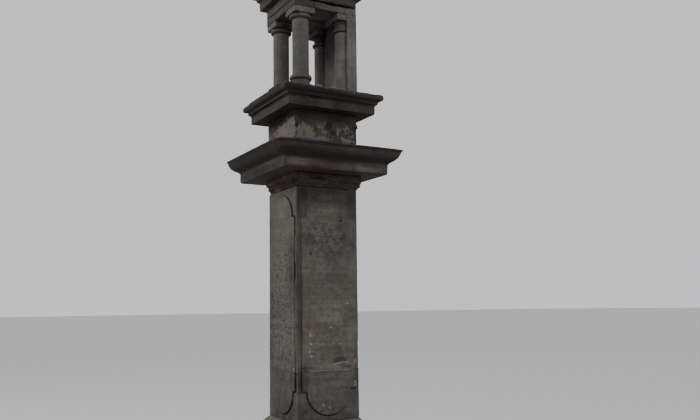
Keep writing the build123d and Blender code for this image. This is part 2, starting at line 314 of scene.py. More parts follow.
stoneFinishes = {
    "base": {
        "pale": (0.112, 0.105, 0.088), "deep": (0.06, 0.055, 0.045), "warm": (0.095, 0.072, 0.05),
        "fresh": (0.11, 0.085, 0.062), "lime": (0.2, 0.19, 0.17), "bedding": 0.35, "pitting": 0.7,
        "soot": 0.1, "film": 0.75, "lichen": 0.5, "relief": 0.006,
    },
    "shaft": {
        "pale": (0.108, 0.101, 0.09), "deep": (0.07, 0.064, 0.057), "warm": (0.092, 0.075, 0.061),
        "fresh": (0.064, 0.046, 0.036), "lime": (0.26, 0.24, 0.2), "bedding": 0.4, "pitting": 0.6,
        "soot": 0.05, "film": 0.55, "lichen": 0.08, "relief": 0.004, "panelled": True,
    },
    "cornice": {
        "pale": (0.056, 0.048, 0.041), "deep": (0.025, 0.0205, 0.018), "warm": (0.046, 0.031, 0.023),
        "fresh": (0.085, 0.054, 0.036), "lime": (0.16, 0.148, 0.125), "bedding": 0.3, "pitting": 0.8,
        "soot": 0.22, "film": 0.08, "lichen": 0.1, "relief": 0.006,
    },
    "bed": {
        "pale": (0.062, 0.049, 0.039), "deep": (0.028, 0.0205, 0.0165), "warm": (0.06, 0.037, 0.025),
        "fresh": (0.085, 0.062, 0.046), "lime": (0.16, 0.14, 0.115), "bedding": 0.08, "pitting": 0.5,
        "soot": 0.15, "film": 0.1, "lichen": 0.1, "relief": 0.004,
    },
    "neck": {
        "pale": (0.074, 0.064, 0.053), "deep": (0.028, 0.023, 0.02), "warm": (0.056, 0.04, 0.03),
        "fresh": (0.055, 0.038, 0.028), "lime": (0.15, 0.138, 0.116), "bedding": 0.3, "pitting": 0.9,
        "soot": 0.25, "film": 0.2, "lichen": 0.2, "relief": 0.007,
    },
    "lantern": {
        "pale": (0.123, 0.115, 0.112), "deep": (0.077, 0.0705, 0.0685), "warm": (0.094, 0.073, 0.064),
        "fresh": (0.07, 0.05, 0.04), "lime": (0.22, 0.2, 0.19), "bedding": 0.2, "pitting": 0.35,
        "soot": 0.08, "film": 0.15, "lichen": 0.1, "relief": 0.003,
    },
    "mortar": {
        "pale": (0.235, 0.218, 0.188), "deep": (0.12, 0.11, 0.094), "warm": (0.15, 0.135, 0.1),
        "fresh": (0.12, 0.1, 0.08), "lime": (0.32, 0.3, 0.27), "bedding": 0.0, "pitting": 0.9,
        "soot": 0.05, "film": 0.5, "lichen": 0.1, "relief": 0.005,
    },
}


def ironMaterial(name, finish):
    # forged iron, brown with rust that gathers in patches
    material, tree, shader = newMaterial(name)
    spot = addNode(tree, "ShaderNodeTexCoord").outputs["Object"]
    patch = clouds(tree, spot, 26.0, 6.0, 0.7)
    grain = clouds(tree, spot, 300.0, 3.0, 0.7)
    rust = between(tree, timesAdd(tree, grain, 0.3, patch), 0.55, 0.8)
    colour = blend(tree, rust, finish["iron"], finish["rust"])
    colour = cover(tree, colour, between(tree, patch, 0.6, 0.75), 0.6, finish["bloom"])
    height = timesAdd(tree, rust, 0.5, times(tree, grain, 0.5))
    bump = addNode(tree, "ShaderNodeBump", {"Height": height, "Distance": finish["relief"]})
    plug(tree, shader, {
        "Base Color": colour, "Normal": bump.outputs["Normal"],
        "Roughness": between(tree, rust, 0.0, 1.0, 0.55, 0.9),
        "Metallic": between(tree, rust, 0.0, 0.7, 0.8, 0.0),
    })
    return material


def attribute(tree, name):
    return addNode(tree, "ShaderNodeAttribute", attribute_name=name).outputs["Fac"]


def stoneMaterial(name, finish):
    # the body, toned as the piece's own layers say, under what the weather has left on it; the tone and soot
    # layers and the weather group also carry painted shade and painted light
    material, tree, shader = newMaterial(name)
    spot = addNode(tree, "ShaderNodeTexCoord").outputs["Object"]
    body = addNode(tree, "ShaderNodeGroup", {
        "Vector": spot, "Rugged": attribute(tree, "rugged"),
        **{label: finish[label.lower()] for label in ("Pale", "Deep", "Warm", "Bedding", "Pitting")},
    }, node_tree=stoneBody)
    crevice = attribute(tree, "crevice")
    # painted shade along the panel's groove, added to the crevice dirt
    if "panelled" in finish:
        line = addNode(tree, "ShaderNodeGroup", {"Vector": spot}, node_tree=panelLine).outputs["Line"]
        crevice = timesAdd(tree, line, attribute(tree, "grime"), crevice)
    agedAndShaded = addNode(tree, "ShaderNodeGroup", {
        "Vector": spot, "Height": body.outputs["Height"], "Crevice": crevice,
        "Colour": shaded(tree, body.outputs["Colour"], attribute(tree, "tone")),
        "Soot": calc(tree, "ADD", attribute(tree, "soot"), finish["soot"]),
        **{label: attribute(tree, label.lower()) for label in ("Worn", "Pale", "Sheltered")},
        **{label: finish[label.lower()] for label in ("Film", "Lichen", "Fresh", "Lime")},
    }, node_tree=weatherAndShade)
    bump = addNode(tree, "ShaderNodeBump", {
        "Height": agedAndShaded.outputs["Height"], "Distance": finish["relief"], "Strength": 0.9,
    })
    plug(tree, shader, {
        "Base Color": agedAndShaded.outputs["Colour"], "Roughness": agedAndShaded.outputs["Roughness"],
        "Normal": bump.outputs["Normal"], "Specular IOR Level": 0.25,
    })
    return material


materials = {name: stoneMaterial(name + "Sandstone", finish) for name, finish in stoneFinishes.items()}
ironFinish = {
    "iron": (0.03, 0.027, 0.026), "rust": (0.07, 0.028, 0.014), "bloom": (0.15, 0.062, 0.026),
    "relief": 0.001,
}
materials["iron"] = ironMaterial("rustedIron", ironFinish)
print("finishes made:", len(materials))


# Masonry tools

weld = 0.00002  # points closer than this are one


def fromNode(name):
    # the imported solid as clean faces
    mesh = bmesh.new()
    mesh.from_mesh(nodes[name].data)
    bmesh.ops.remove_doubles(mesh, verts=mesh.verts, dist=weld)
    bmesh.ops.dissolve_limit(mesh, angle_limit=math.radians(0.6), verts=mesh.verts, edges=mesh.edges)
    bmesh.ops.recalc_face_normals(mesh, faces=mesh.faces)
    return mesh


def easeArrises(mesh, size):
    sharp = [edge for edge in mesh.edges if edge.calc_face_angle(0.0) > math.radians(28)]
    bmesh.ops.bevel(
        mesh, geom=sharp, offset=size, offset_type="OFFSET", affect="EDGES", segments=2,
        profile=0.5, material=-1, clamp_overlap=True,
    )


def limits(mesh):
    low = Vector([min(vert.co[axis] for vert in mesh.verts) for axis in range(3)])
    high = Vector([max(vert.co[axis] for vert in mesh.verts) for axis in range(3)])
    return low, high


def splitManySided(mesh):
    manySided = [face for face in mesh.faces if len(face.verts) > 4]
    bmesh.ops.triangulate(mesh, faces=manySided)


def divideFaces(mesh, cell):
    # wide saw cuts first, then each long edge is halved until the faces are small
    low, high = limits(mesh)
    for axis in range(3):
        across = Vector([float(index == axis) for index in range(3)])
        span = high[axis] - low[axis]
        cuts = int(span / (cell * 8))
        for cut in range(1, cuts + 1):
            place = low + across * span * cut / (cuts + 1)
            whole = mesh.verts[:] + mesh.edges[:] + mesh.faces[:]
            bmesh.ops.bisect_plane(mesh, geom=whole, dist=weld, plane_co=place, plane_no=across)
    splitManySided(mesh)
    while longEdges := [edge for edge in mesh.edges if edge.calc_length() > cell * 1.5]:
        bmesh.ops.subdivide_edges(
            mesh, edges=longEdges, cuts=1, use_grid_fill=True, quad_corner_type="INNER_VERT"
        )
        splitManySided(mesh)


def smoothStep(value):
    value = max(0.0, min(1.0, value))
    return value * value * (3.0 - 2.0 * value)


def nearness(place, centre, reach):
    away = Vector([(place[axis] - centre[axis]) / reach[axis] for axis in range(3)]).length
    return smoothStep((1.0 - away) * 1.7)


def cornerness(mesh):
    # above 0 in hollow corners, below 0 on proud arrises
    mesh.normal_update()
    mesh.verts.index_update()
    found = []
    for vert in mesh.verts:
        others = [edge.other_vert(vert) for edge in vert.link_edges]
        middle = sum((other.co for other in others), Vector()) / len(others)
        reach = sum((other.co - vert.co).length for other in others) / len(others)
        found.append((middle - vert.co).dot(vert.normal) / max(reach, 0.0005))
    blurred = []
    for vert in mesh.verts:
        near = [found[edge.other_vert(vert).index] for edge in vert.link_edges]
        blurred.append(0.5 * found[vert.index] + 0.5 * sum(near) / len(near))
    return blurred


# What each point of the skin carries for its material, the second row kept between 0 and 1
skinLayers = ("worn", "pale", "soot", "tone", "rugged", "grime", "sheltered", "crevice")
unitLayers = ("pale", "rugged", "grime", "sheltered")
# Scales of the wear that all stones share
wearScales = {"swell": 5.5, "chips": 21.0, "rough": 38.0}


def wearDown(mesh, look):
    # seeded drifts: faces sink unevenly, arrises lose chips, worn stretches are rounded, marked spots dented
    drift = Vector((look["seed"] * 3.7, look["seed"] * 1.9, look["seed"] * 5.3))
    layers = {name: mesh.verts.layers.float.new(name) for name in skinLayers}
    proud = cornerness(mesh)
    wear = []
    moves = []
    for vert in mesh.verts:
        place = vert.co
        patchy = noise.fractal(place * look["patches"] + drift, 0.9, 2.0, 3)
        swell = noise.fractal(place * wearScales["swell"] + drift, 1.0, 2.0, 3)
        rough = noise.fractal(place * wearScales["rough"] + drift, 0.8, 2.1, 3)
        torn = noise.fractal(place * look["scourSize"] + drift * 2.0, 0.9, 2.0, 4)
        total = {key: look.get(key, 0.0) for key in unitLayers + ("soot", "scour", "wear")}
        total["tone"] = look["tone"]
        dent = 0.0
        broken = 0.0
        for spot in look["spots"]:
            share = nearness(place, spot["at"], spot["reach"])
            if share > 0.0:
                bite = smoothStep(share * 2.2 + rough * 0.55 - 0.35)
                dent += spot.get("dent", 0.0) * bite
                broken += spot.get("broken", 0.0) * bite
                for key in total:
                    total[key] += spot.get(key, 0.0) * share
        hollow = smoothStep(torn * 1.5 + 0.45)
        edge = smoothStep((-proud[vert.index] - 0.06) * 8.0)
        flaw = noise.fractal(place * wearScales["chips"] + drift * 3.0, 0.9, 2.0, 3)
        chip = smoothStep((flaw - look["chipRarity"]) * 5.0) * edge
        sink = look["swell"] * 0.6 * swell + look["rough"] * (0.3 + 0.5 * rough) * (1.0 + total["rugged"])
        sink += dent + max(0.0, total["scour"]) * hollow + look["chip"] * chip
        sink *= smoothStep((look["heldTop"] - place.z) / 0.03)
        onFace = max(abs(place.x), abs(place.y)) < panel["face"] + panel["margin"]
        if look["panelled"] and total["grime"] > 0.0 and onFace:
            groove = 1.0 - abs(beyondPanel(place) - panel["grooveMiddle"]) / panel["grooveReach"]
            sink += panel["grooveDepth"] * smoothStep(groove) * min(1.0, total["grime"])
        moves.append(vert.normal * -max(-0.03, sink))
        wear.append(total["wear"] + look["uneven"] * patchy)
        vert[layers["worn"]] = max(0.0, min(1.0, broken + 0.5 * chip + total["scour"] * hollow * 14.0))
        for key in unitLayers:
            vert[layers[key]] = max(0.0, min(1.0, total[key]))
        vert[layers["soot"]] = total["soot"] + 0.5 * total["scour"] / 0.02 * (hollow - 0.5)
        vert[layers["tone"]] = max(0.05, total["tone"])
    for turn in range(look["rounds"]):
        level = (turn + 0.5) / look["rounds"]
        soft = [vert for vert in mesh.verts if wear[vert.index] > level]
        bmesh.ops.smooth_vert(
            mesh, verts=soft, factor=0.5, use_axis_x=True, use_axis_y=True, use_axis_z=True,
        )
    for vert, move in zip(mesh.verts, moves):
        vert.co += move
    for vert, value in zip(mesh.verts, cornerness(mesh)):
        vert[layers["crevice"]] = value


def keepWithin(mesh, low, high):
    for vert in mesh.verts:
        vert.co = [max(low[axis], min(high[axis], vert.co[axis])) for axis in range(3)]


def asPiece(mesh, settings, name, material, slot, *stoodFor):
    wearDown(mesh, settings)
    keepWithin(mesh, cadLow, cadHigh)
    data = bpy.data.meshes.new(name)
    for face in mesh.faces:
        face.smooth = True
    mesh.to_mesh(data)
    mesh.free()
    data.materials.append(material)
    piece = bpy.data.objects.new(name, data)
    bpy.context.scene.collection.objects.link(piece)
    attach(piece, "root")
    if stoodFor:
        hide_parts(*stoodFor)


plainWear = {
    "cell": 0.01, "arris": 0.004, "wear": 0.02, "uneven": 0.6, "patches": 7.0, "swell": 0.0015,
    "rough": 0.0008, "rounds": 5, "scour": 0.0, "scourSize": 13.0, "chip": 0.005, "chipRarity": 0.35,
    "tone": 1.0, "panelled": False, "heldTop": 9.0, "spots": [], "seed": 1,
}


def wornStone(name, material, slot, look, mesh=None):
    settings = {**plainWear, **look}
    mesh = mesh or fromNode(name)
    easeArrises(mesh, settings["arris"])
    divideFaces(mesh, settings["cell"])
    asPiece(mesh, settings, name + "_stone", materials[material], slot, name)


def mark(at, reach, **effects):
    # a spot on a stone: its middle, how far it reaches along X, Y and Z, and what changes there
    return {"at": at, "reach": reach, **effects}


# Ground step, plinth and base course

baseStones = {
    "ground_step": {"cell": 0.016, "arris": 0.009, "wear": 0.25, "swell": 0.004, "rough": 0.002, "seed": 11},
    "plinth": {"cell": 0.013, "arris": 0.007, "wear": 0.2, "swell": 0.003, "rough": 0.0015, "seed": 12},
    "base_course": {
        "cell": 0.011, "arris": 0.006, "wear": 0.15, "swell": 0.003, "rough": 0.0012, "seed": 13,
        "spots": [
            mark((0.34, 0.24, 0.61), (0.1, 0.24, 0.05), tone=0.7),
            mark((-0.26, -0.34, 0.6), (0.26, 0.1, 0.06), tone=0.5),
            mark((0.35, -0.28, 0.6), (0.12, 0.26, 0.07), tone=0.6),
        ],
    },
}
for name, look in baseStones.items():
    wornStone(name, "base", "base_sandstone", {"chip": 0.009, "chipRarity": 0.2, "uneven": 0.8, **look})
print("base laid")


# Shaft: +X at the right and -Y in front are the faces in view, the others repeat their kind of wear

def onRight(y, z, wide, tall, deep=0.03, **effects):
    return mark((0.31, y, z), (deep, wide, tall), **effects)


def onFront(x, z, wide, tall, deep=0.03, **effects):
    return mark((x, -0.31, z), (wide, deep, tall), **effects)


jointSpots = [
    onRight(-0.215, 1.073, 0.08, 0.022, deep=0.05, dent=0.003, soot=0.15, tone=-0.34),
    onRight(-0.245, 1.09, 0.045, 0.036, deep=0.05, dent=0.002, tone=-0.22),
]
faceSpots = [
    onFront(-0.27, 1.85, 0.17, 0.92, deep=0.05, tone=-0.34),
    onFront(0.02, 2.2, 0.18, 0.35, deep=0.05, tone=0.08),
    onFront(-0.27, 1.1, 0.12, 0.4, deep=0.05, tone=-0.14),
    onFront(0.215, 1.95, 0.075, 0.48, deep=0.05, tone=-0.28),
    onFront(0.19, 1.94, 0.15, 0.4, deep=0.05, tone=-0.31),
    mark((0.292, -0.292, 1.85), (0.055, 0.055, 0.95), tone=-0.34),
    mark((0.292, -0.292, 0.965), (0.055, 0.055, 0.16), tone=-0.36),
    onFront(0.225, 0.965, 0.09, 0.16, tone=-0.4),
    onRight(-0.245, 0.965, 0.06, 0.14, tone=-0.28),
    mark((0.28, -0.306, 1.47), (0.045, 0.03, 0.46), wear=0.9, grime=-0.1),
    mark((0.287, -0.302, 1.47), (0.03, 0.02, 0.46), dent=-0.009),
    mark((0.28, -0.306, 1.74), (0.045, 0.03, 0.15), wear=0.9, grime=-0.1),
    mark((0.287, -0.302, 1.76), (0.03, 0.02, 0.13), dent=-0.007),
    mark((0.28, -0.306, 2.09), (0.045, 0.03, 0.17), wear=0.9, grime=-0.5),
    mark((0.287, -0.302, 2.09), (0.03, 0.02, 0.17), dent=-0.009),
    onFront(0.0, 1.45, 0.34, 1.1, deep=0.08, rugged=1.0, tone=-0.09),
    mark((0.0, 0.31, 1.45), (0.34, 0.08, 1.1), rugged=0.7),
    mark((-0.31, 0.0, 1.45), (0.08, 0.34, 1.1), rugged=0.3),
    onRight(0.0, 1.7, 0.34, 1.4, deep=0.08, rugged=0.15),
]
# how strongly the panel's groove is carved and darkened with painted shade
lineSpots = [
    onRight(-0.27, 1.35, 0.05, 0.42, grime=0.16),
    onRight(0.0, 2.48, 0.4, 0.24, grime=-0.1),
    onRight(-0.27, 0.95, 0.05, 0.17, grime=0.5),
    onRight(-0.06, 0.74, 0.26, 0.26, grime=1.6),
    onFront(0.25, 0.94, 0.09, 0.17, grime=0.8),
    onFront(0.1, 0.72, 0.2, 0.14, grime=1.6),
    onFront(0.2, 2.48, 0.14, 0.2, grime=1.5),
    onFront(0.27, 2.32, 0.05, 0.15, grime=0.5),
    onFront(0.27, 1.93, 0.05, 0.13, grime=0.4),
    mark((-0.27, 0.31, 1.7), (0.05, 0.03, 0.5), grime=1.2),
    mark((-0.31, 0.27, 1.2), (0.03, 0.05, 0.5), grime=1.2),
    mark((-0.31, 0.0, 0.72), (0.03, 0.3, 0.12), grime=1.2),
    mark((0.0, 0.31, 2.55), (0.3, 0.03, 0.14), grime=1.2),
]
shaftLook = {
    "cell": 0.0085, "arris": 0.005, "swell": 0.002, "rough": 0.0009, "grime": 0.1, "panelled": True,
    "chipRarity": 0.42,
}
shaftFootLook = {
    **shaftLook, "seed": 21, "tone": 0.81,
    "spots": jointSpots + faceSpots + lineSpots + [
        onRight(0.268, 0.93, 0.03, 0.05, deep=0.04, dent=0.005, pale=0.8),
        mark((0.305, 0.235, 0.885), (0.03, 0.045, 0.012), grime=2.5, soot=0.7),
        mark((0.3, -0.235, 0.695), (0.03, 0.035, 0.036), dent=0.004, tone=-0.2),
        onRight(-0.04, 0.735, 0.09, 0.04, pale=0.28),
        onFront(0.0, 0.84, 0.5, 0.32, deep=0.08, rugged=-0.9),
        mark((0.3, 0.0, 0.64), (0.06, 0.34, 0.05), tone=-0.08),
        mark((0.0, -0.3, 0.7), (0.36, 0.05, 0.2), tone=-0.32),
        mark((0.3, -0.28, 0.68), (0.06, 0.06, 0.16), tone=-0.14),
    ],
}
shaftMainLook = {
    **shaftLook, "seed": 22,
    "spots": jointSpots + faceSpots + lineSpots + [
        onRight(0.112, 1.128, 0.072, 0.04, deep=0.05, dent=0.006, broken=0.55, tone=-0.14),
        onRight(0.07, 1.124, 0.06, 0.034, deep=0.05, dent=0.004, broken=0.25, tone=-0.12),
        onRight(0.095, 1.106, 0.09, 0.018, deep=0.05, dent=0.004, tone=-0.2),
        onRight(0.19, 1.18, 0.1, 0.12, deep=0.05, broken=0.36),
        onRight(0.17, 1.074, 0.12, 0.014, deep=0.04, dent=0.004, tone=-0.25),
        onRight(0.02, 1.088, 0.22, 0.034, deep=0.04, dent=-0.002, tone=0.22),
        mark((0.3, 0.285, 1.15), (0.04, 0.05, 0.24), dent=0.003, broken=0.45, tone=-0.1),
        # painted shade in the right side's spandrels and under the bed mould
        mark((0.3, -0.255, 2.51), (0.04, 0.09, 0.19), tone=-0.36),
        mark((0.3, 0.265, 2.5), (0.04, 0.09, 0.19), tone=-0.28),
        onFront(0.27, 2.55, 0.06, 0.22, deep=0.02, tone=0.2),
        onRight(0.0, 2.62, 0.45, 0.19, deep=0.05, tone=-0.52),
        onRight(0.0, 2.66, 0.4, 0.09, deep=0.05, tone=-0.1, soot=0.15),
        onRight(-0.21, 2.2, 0.1, 0.2, tone=-0.24),
        onRight(0.0, 2.19, 0.3, 0.2, deep=0.04, tone=-0.2, rugged=0.4),
        onRight(0.0, 1.64, 0.34, 0.25, deep=0.04, tone=0.34),
        onRight(0.0, 1.36, 0.34, 0.34, deep=0.04, tone=0.14),
        onRight(-0.261, 2.394, 0.026, 0.02, dent=0.003, pale=0.3),
        onRight(-0.24, 2.26, 0.015, 0.02, dent=0.002, pale=0.34),
        onRight(-0.206, 2.262, 0.012, 0.02, dent=0.002, pale=0.36),
        onRight(0.127, 2.36, 0.016, 0.014, dent=0.008, soot=1.2),
        onRight(-0.174, 2.058, 0.014, 0.014, dent=0.008, soot=1.1),
        onRight(-0.188, 1.215, 0.012, 0.034, dent=0.001, pale=0.7),
        onRight(-0.172, 1.178, 0.018, 0.016, dent=0.001, pale=0.75),
        onRight(-0.182, 1.296, 0.012, 0.026, dent=0.001, pale=0.7),
        onRight(-0.172, 1.278, 0.022, 0.012, dent=0.001, pale=0.65),
        onRight(-0.19, 1.372, 0.01, 0.024, dent=0.001, pale=0.65),
        onRight(-0.178, 1.351, 0.016, 0.012, dent=0.001, pale=0.6),
        onRight(0.018, 1.422, 0.013, 0.013, pale=0.8),
        onRight(0.02, 1.278, 0.26, 0.01, dent=0.001, pale=0.33, tone=0.05),
        onRight(-0.08, 1.352, 0.16, 0.01, dent=0.001, pale=0.3, tone=0.05),
        onRight(0.02, 1.66, 0.24, 0.012, dent=0.001, pale=0.3, tone=0.05),
        onRight(0.0, 1.8, 0.26, 0.012, tone=0.08),
        onRight(-0.03, 1.235, 0.22, 0.012, dent=0.002, tone=-0.18),
        onRight(0.1, 1.52, 0.2, 0.014, dent=0.002, tone=-0.15),
        onRight(0.19, 1.63, 0.014, 0.014, dent=0.002, pale=0.65),
        onFront(0.243, 1.07, 0.02, 0.02, dent=0.003, pale=0.7),
        onFront(0.1, 2.35, 0.3, 0.25, deep=0.04, tone=0.06),
        # painted shade round the top, under the bed mould
        mark((0.0, 0.0, 2.7), (0.6, 0.6, 0.06), wear=0.3, soot=0.25),
    ],
}
wornStone("shaft_foot_block", "shaft", "shaft_sandstone", shaftFootLook)
wornStone("shaft_main_block", "shaft", "shaft_sandstone", shaftMainLook)
print("shaft raised")


# Bed mould, cornices and the neck between them

bedMouldLook = {
    "cell": 0.0085, "arris": 0.005, "wear": 0.55, "uneven": 0.9, "patches": 6.0, "swell": 0.004,
    "rough": 0.0012, "rounds": 24, "seed": 31, "scour": 0.01, "scourSize": 7.0, "chip": 0.004,
    "chipRarity": 0.1, "tone": 0.95, "heldTop": 2.785,
    "spots": [
        mark((0.31, -0.33, 2.7), (0.1, 0.14, 0.1), scour=0.008, dent=0.01, wear=0.5, tone=0.2),
        mark((-0.05, -0.33, 2.7), (0.36, 0.08, 0.12), scour=0.014, wear=0.5, tone=0.45),
        mark((0.33, -0.02, 2.72), (0.1, 0.34, 0.12), wear=1.2, scour=0.006, rugged=0.3),
        mark((-0.02, -0.33, 2.664), (0.32, 0.06, 0.022), pale=0.26, tone=0.4),
        mark((0.33, 0.34, 2.675), (0.07, 0.1, 0.05), dent=-0.006),
        mark((0.33, -0.08, 2.745), (0.06, 0.12, 0.04), dent=0.008, soot=0.4),
        mark((0.33, 0.05, 2.74), (0.06, 0.07, 0.05), dent=-0.004, soot=0.2),
        mark((0.33, -0.05, 2.69), (0.05, 0.2, 0.022), dent=-0.003, tone=0.35),
        mark((0.33, 0.32, 2.71), (0.08, 0.14, 0.14), scour=-0.02, wear=-1.0),
    ],
}


def noseChips(face, top, start, step, count, depth):
    # a row of chips along the nose of a cornice's right side, deeper and wider by turns
    chips = []
    for turn in range(count):
        place = start + step * turn + 0.02 * math.sin(turn * 2.4)
        dent = depth * (0.7 + 0.3 * (turn * 2 % 3))
        reach = (0.04, 0.032 + 0.014 * (turn % 3), 0.028)
        chips.append(mark((face, place, top), reach, dent=dent, tone=0.2 * (turn % 2)))
    return chips


lowerCorniceLook = {
    "cell": 0.0105, "arris": 0.004, "wear": 0.02, "uneven": 0.25, "swell": 0.003, "rough": 0.0012,
    "seed": 32, "chip": 0.009, "chipRarity": 0.15, "rounds": 14,
    "spots": [
        mark((0.6, -0.6, 2.985), (0.1, 0.1, 0.06), wear=0.9, dent=0.014, tone=0.4),
        mark((0.56, -0.56, 2.92), (0.09, 0.09, 0.08), wear=0.9, dent=0.006),
        # painted shade under the crown's lip on the right and over the front crown
        mark((0.61, -0.1, 2.974), (0.05, 0.75, 0.017), soot=0.8, tone=-0.45),
        mark((-0.1, -0.6, 2.93), (1.0, 0.14, 0.1), tone=-0.62),
        # painted light on the right fascia
        mark((0.521, 0.1, 2.805), (0.03, 0.44, 0.05), tone=1.25, soot=-0.3),
        # painted shade in the cove above the fascia, on every side
        mark((0.56, -0.1, 2.885), (0.12, 1.0, 0.042), soot=0.7, tone=-0.3),
        mark((-0.1, -0.56, 2.885), (1.0, 0.12, 0.042), soot=0.7, tone=-0.35),
        mark((0.56, -0.38, 2.9), (0.12, 0.3, 0.055), soot=0.6, tone=-0.1),
        mark((0.1, 0.56, 2.885), (1.0, 0.12, 0.042), soot=0.7),
        mark((-0.56, 0.1, 2.885), (0.12, 1.0, 0.042), soot=0.7),
        # painted light near the right fascia's corner and a painted highlight along the front fascia's top
        # fillet
        mark((0.51, -0.34, 2.825), (0.04, 0.24, 0.04), tone=0.6, soot=-0.5),
        mark((0.0, -0.53, 2.864), (0.7, 0.05, 0.014), tone=0.7, soot=-0.6),
        # painted shade on the front fascia and crown, and under the right fascia
        mark((0.0, -0.51, 2.849), (0.6, 0.04, 0.01), soot=0.4),
        mark((0.0, -0.51, 2.81), (0.75, 0.04, 0.045), tone=-0.5),
        mark((0.0, -0.6, 2.95), (0.7, 0.1, 0.06), tone=-0.2),
        mark((0.0, -0.6, 2.965), (0.7, 0.04, 0.03), soot=0.6),
        mark((0.51, -0.1, 2.785), (0.03, 0.6, 0.012), soot=0.3),
    ] + noseChips(0.605, 2.992, -0.5, 0.13, 8, 0.01),
}
neckLook = {
    "cell": 0.0085, "arris": 0.005, "wear": 0.1, "uneven": 0.8, "swell": 0.004, "rough": 0.002, "seed": 33,
    "chip": 0.01, "chipRarity": 0.1,
    "spots": [
        mark((0.306, 0.306, 3.235), (0.05, 0.05, 0.03), dent=-0.012),
        mark((0.306, -0.23, 3.135), (0.05, 0.135, 0.105), pale=0.85, tone=0.25),
        mark((0.306, -0.12, 3.095), (0.05, 0.11, 0.055), pale=0.55),
        mark((0.306, 0.08, 3.088), (0.05, 0.28, 0.036), pale=0.5),
        mark((0.306, -0.306, 3.16), (0.03, 0.024, 0.13), pale=-0.7, soot=0.25, dent=0.002),
        mark((0.306, -0.02, 3.19), (0.05, 0.12, 0.1), pale=0.4, tone=0.15),
        mark((0.306, 0.115, 3.19), (0.05, 0.035, 0.08), pale=0.45),
        mark((0.306, 0.2, 3.16), (0.05, 0.12, 0.12), pale=0.41, tone=0.1),
        mark((0.306, 0.02, 3.205), (0.05, 0.055, 0.05), dent=0.006, soot=0.4, tone=-0.3, pale=-0.4),
        mark((0.306, 0.055, 3.15), (0.05, 0.045, 0.035), dent=0.005, soot=0.4, pale=-0.3),
        mark((0.306, -0.298, 3.19), (0.03, 0.018, 0.028), dent=0.01, soot=0.8, pale=-0.8),
        # painted shade under the upper cornice, right side
        mark((0.3, 0.0, 3.32), (0.08, 0.45, 0.12), soot=0.25, tone=-0.34),
        mark((0.16, -0.306, 3.16), (0.32, 0.05, 0.175), pale=0.72, tone=0.1),
        mark((-0.14, -0.306, 3.125), (0.36, 0.05, 0.165), pale=0.66, tone=0.1),
        mark((0.22, -0.306, 3.24), (0.1, 0.05, 0.06), pale=0.25),
        # painted shade under the upper cornice, front side
        mark((-0.1, -0.306, 3.33), (0.36, 0.08, 0.09), soot=0.5, tone=-0.35),
        mark((-0.306, 0.05, 3.12), (0.05, 0.28, 0.07), pale=0.6),
        mark((0.0, 0.306, 3.12), (0.28, 0.05, 0.07), pale=0.55),
    ],
}
upperCorniceLook = {
    "cell": 0.0098, "arris": 0.003, "wear": 0.03, "uneven": 0.7, "swell": 0.0025, "rough": 0.0012,
    "seed": 34, "chip": 0.007, "chipRarity": 0.15, "tone": 0.95,
    "spots": [
        mark((0.486, 0.486, 3.5), (0.06, 0.06, 0.05), wear=0.5),
        mark((0.486, -0.486, 3.51), (0.05, 0.05, 0.03), dent=0.006, wear=0.4),
        mark((0.0, -0.476, 3.515), (0.5, 0.03, 0.014), dent=-0.008),
        # painted shade under the nose and on the bead on the right side
        mark((0.46, -0.1, 3.42), (0.06, 0.7, 0.012), soot=0.5),
        mark((0.46, -0.1, 3.437), (0.04, 0.75, 0.015), tone=-0.45, soot=0.25),
        mark((0.49, -0.1, 3.465), (0.04, 0.75, 0.03), tone=-0.5, soot=0.55),
        mark((0.49, -0.3, 3.488), (0.04, 0.6, 0.016), tone=-0.3, soot=0.2),
        # painted light on the right nose's far end and a painted highlight along its top arris
        mark((0.49, 0.28, 3.478), (0.04, 0.26, 0.026), tone=0.45, soot=-0.35),
        mark((0.48, 0.05, 3.512), (0.04, 0.4, 0.01), tone=0.7),
        mark((0.3, -0.476, 3.515), (0.24, 0.05, 0.022), dent=-0.01),
        # painted shade on the front nose and under it
        mark((-0.1, -0.46, 3.42), (0.7, 0.06, 0.012), soot=0.6),
        mark((-0.1, -0.49, 3.462), (0.7, 0.05, 0.01), soot=0.4),
        mark((-0.1, -0.49, 3.485), (0.8, 0.06, 0.04), tone=-0.6),
    ] + noseChips(0.48, 3.508, -0.4, 0.098, 9, 0.014),
}
corniceStones = (
    ("bed_mould", "bed", bedMouldLook), ("lower_cornice", "cornice", lowerCorniceLook),
    ("neck_block", "neck", neckLook), ("upper_cornice", "cornice", upperCorniceLook),
)
for name, material, look in corniceStones:
    wornStone(name, material, "cornice_sandstone", look)
print("cornices set")


# Lantern: turned bases and capitals, column shafts, abaci, wall and lintels

# Metres: where the columns stand, the heights of their parts and the radii of their mouldings
columns = {
    "offset": 0.211, "wall": 0.216, "floor": 3.55, "shaftFoot": 3.663, "abacus": 4.22,
    "drum": 0.085, "flare": 0.012, "drumTop": 3.617, "ring": 0.101,
    "cushionFoot": 4.178, "cushionNeck": 0.08, "cushion": 0.099,
    "half": 0.067, "lowRoll": 0.085, "lowRollFoot": 4.122, "lowRollTop": 4.16,
    "band": 0.08, "bandFoot": 4.194, "steps": 56,
}


def roundMoulding(neck, belly, foot, top, points=7):
    # a half-round moulding: radius out from neck to belly and back, between two heights
    middle = (foot + top) / 2
    angles = [math.pi * (step / (points - 1) - 0.5) for step in range(points)]
    return [(neck + (belly - neck) * math.cos(a), middle + (top - foot) / 2 * math.sin(a)) for a in angles]


